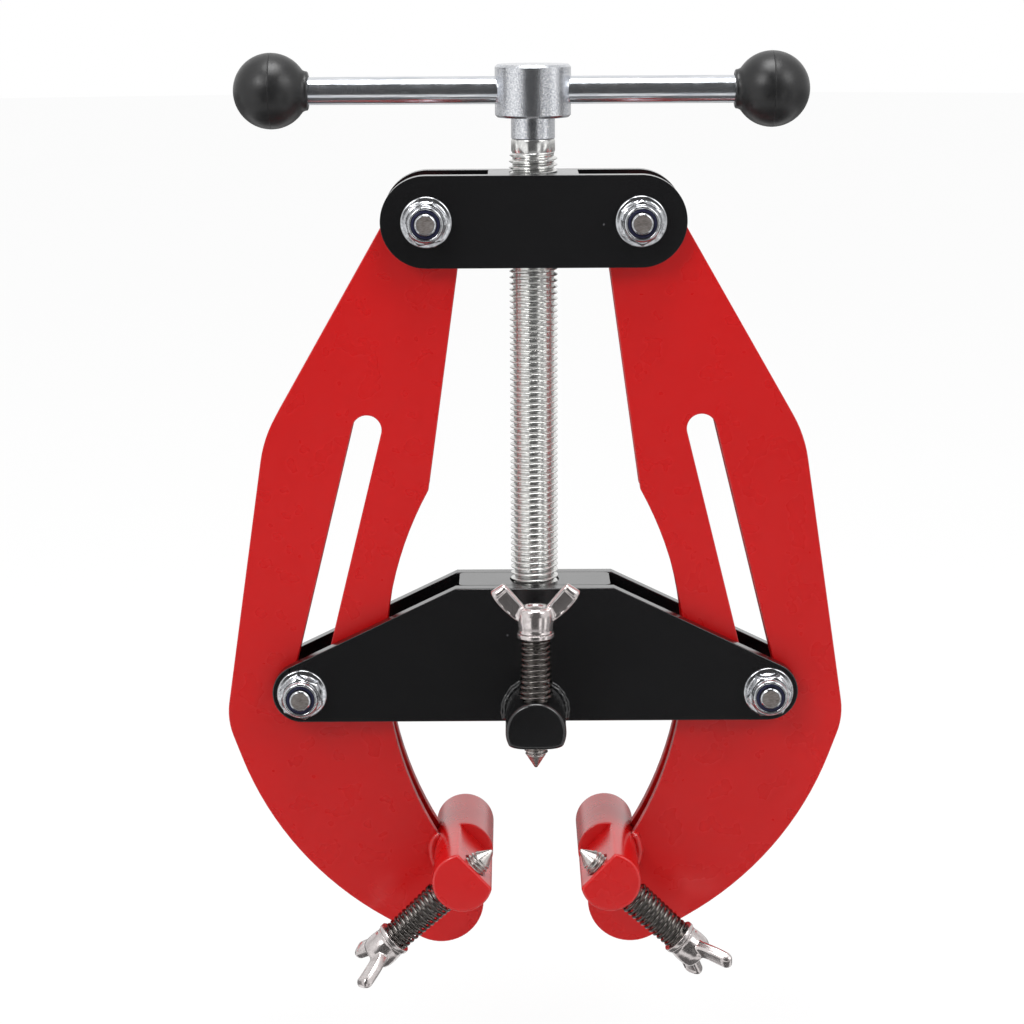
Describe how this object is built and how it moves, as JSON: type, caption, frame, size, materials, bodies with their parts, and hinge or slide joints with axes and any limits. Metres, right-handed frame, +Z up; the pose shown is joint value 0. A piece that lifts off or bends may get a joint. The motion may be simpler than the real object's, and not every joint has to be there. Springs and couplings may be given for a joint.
{
  "type": "pipe fit-up clamp",
  "caption": "T-handle screw clamp with two slotted double-plate arms and round contact bars that centre a pipe, and pointed wing screws to align it.",
  "frame": {"origin": "on the centreline of the smallest pipe that the clamp centres, at mid-thickness of the plates", "axes": "+Z up along the main screw, towards the T-handle; +Y along the pipe, away from the side with the wing screws; +X to the right seen from the wing screws"},
  "size_m": [0.2082, 0.0724, 0.3092],
  "materials": {
    "red_paint": "semi-gloss powder coat",
    "black_paint": "semi-gloss powder coat",
    "zinc_plated": "bright zinc plating",
    "nickel_plated": "bright nickel plating",
    "spring_steel": "oiled spring wire",
    "black_plastic": "satin moulded",
    "nylon_insert": "matte"
  },
  "bodies": {
    "crossbar": {"crossbar_front_plate": "black_paint", "crossbar_back_plate": "black_paint", "crossbar_block": "black_paint", "retaining_pins": "zinc_plated", "centre_lug": "black_paint", "centre_lug_weld": "black_paint", "crossbar_bolts": "zinc_plated", "crossbar_nuts": "zinc_plated", "crossbar_nut_inserts": "nylon_insert", "centre_jack_spring": "spring_steel"},
    "screw": {"main_screw": "zinc_plated", "handle_hub": "zinc_plated"},
    "handle_bar": {"tommy_bar": "zinc_plated", "left_knob": "black_plastic", "right_knob": "black_plastic"},
    "link": {"link_front_plate": "black_paint", "link_back_plate": "black_paint", "threaded_block": "black_paint", "link_bolts": "zinc_plated", "link_nuts": "zinc_plated", "link_nut_inserts": "nylon_insert"},
    "left_arm": {"left_arm_front_plate": "red_paint", "left_arm_back_plate": "red_paint", "left_arm_spacer": "zinc_plated", "left_jaw_bar": "red_paint", "left_jaw_weld": "red_paint", "left_jack_spring": "spring_steel"},
    "right_arm": {"right_arm_front_plate": "red_paint", "right_arm_back_plate": "red_paint", "right_arm_spacer": "zinc_plated", "right_jaw_bar": "red_paint", "right_jaw_weld": "red_paint", "right_jack_spring": "spring_steel"},
    "left_jack_seat": {"left_jack_washer": "nickel_plated"},
    "left_jack": {"left_jack_stud": "nickel_plated", "left_jack_wings": "nickel_plated"},
    "right_jack_seat": {"right_jack_washer": "nickel_plated"},
    "right_jack": {"right_jack_stud": "nickel_plated", "right_jack_wings": "nickel_plated"},
    "centre_jack_seat": {"centre_jack_washer": "nickel_plated"},
    "centre_jack": {"centre_jack_stud": "nickel_plated", "centre_jack_wings": "nickel_plated"}
  },
  "joints": [
    {"name": "screw_turn", "type": "hinge", "parent": "crossbar", "child": "screw", "pos_m": [0, 0, 0.15], "axis": [0, 0, 1], "range_deg": [0, 9360]},
    {"name": "handle_slide", "type": "slide", "parent": "screw", "child": "handle_bar", "axis": [1, 0, 0], "range_m": [-0.0529, 0.0603]},
    {"name": "link_slide", "type": "slide", "parent": "crossbar", "child": "link", "axis": [0, 0, -1], "range_m": [0, 0.052]},
    {"name": "left_arm_swing", "type": "hinge", "parent": "link", "child": "left_arm", "pos_m": [-0.0348, 0, 0.1961], "axis": [0, 1, 0], "range_deg": [0, 6.33]},
    {"name": "right_arm_swing", "type": "hinge", "parent": "link", "child": "right_arm", "pos_m": [0.0348, 0, 0.1961], "axis": [0, -1, 0], "range_deg": [0, 6.33]},
    {"name": "left_jack_slide", "type": "slide", "parent": "left_arm", "child": "left_jack_seat", "axis": [0.7314, 0, 0.682], "range_m": [-0.008, 0.006], "deforming": ["left_jack_spring"]},
    {"name": "left_jack_turn", "type": "hinge", "parent": "left_jack_seat", "child": "left_jack", "pos_m": [-0.0246, -0.0335, -0.02007], "axis": [0.7314, 0, 0.682], "range_deg": [-2304, 1728]},
    {"name": "right_jack_slide", "type": "slide", "parent": "right_arm", "child": "right_jack_seat", "axis": [-0.7314, 0, 0.682], "range_m": [-0.008, 0.006], "deforming": ["right_jack_spring"]},
    {"name": "right_jack_turn", "type": "hinge", "parent": "right_jack_seat", "child": "right_jack", "pos_m": [0.0246, -0.0335, -0.02007], "axis": [-0.7314, 0, 0.682], "range_deg": [-2304, 1728]},
    {"name": "centre_jack_slide", "type": "slide", "parent": "crossbar", "child": "centre_jack_seat", "axis": [0, 0, -1], "range_m": [-0.008, 0.006], "deforming": ["centre_jack_spring"]},
    {"name": "centre_jack_turn", "type": "hinge", "parent": "centre_jack_seat", "child": "centre_jack", "pos_m": [0, -0.0335, 0.03175], "axis": [0, 0, -1], "range_deg": [-2304, 1728]}
  ],
  "couplings": [
    {"joint": "link_slide", "follows": "screw_turn", "m_per_rad": 0.00031831},
    {"joint": "left_arm_swing", "follows": "screw_turn", "ratio": 0.00067628},
    {"joint": "right_arm_swing", "follows": "screw_turn", "ratio": 0.00067628},
    {"joint": "left_jack_turn", "follows": "left_jack_slide", "rad_per_m": 5026.5},
    {"joint": "right_jack_turn", "follows": "right_jack_slide", "rad_per_m": 5026.5},
    {"joint": "centre_jack_turn", "follows": "centre_jack_slide", "rad_per_m": 5026.5}
  ]
}
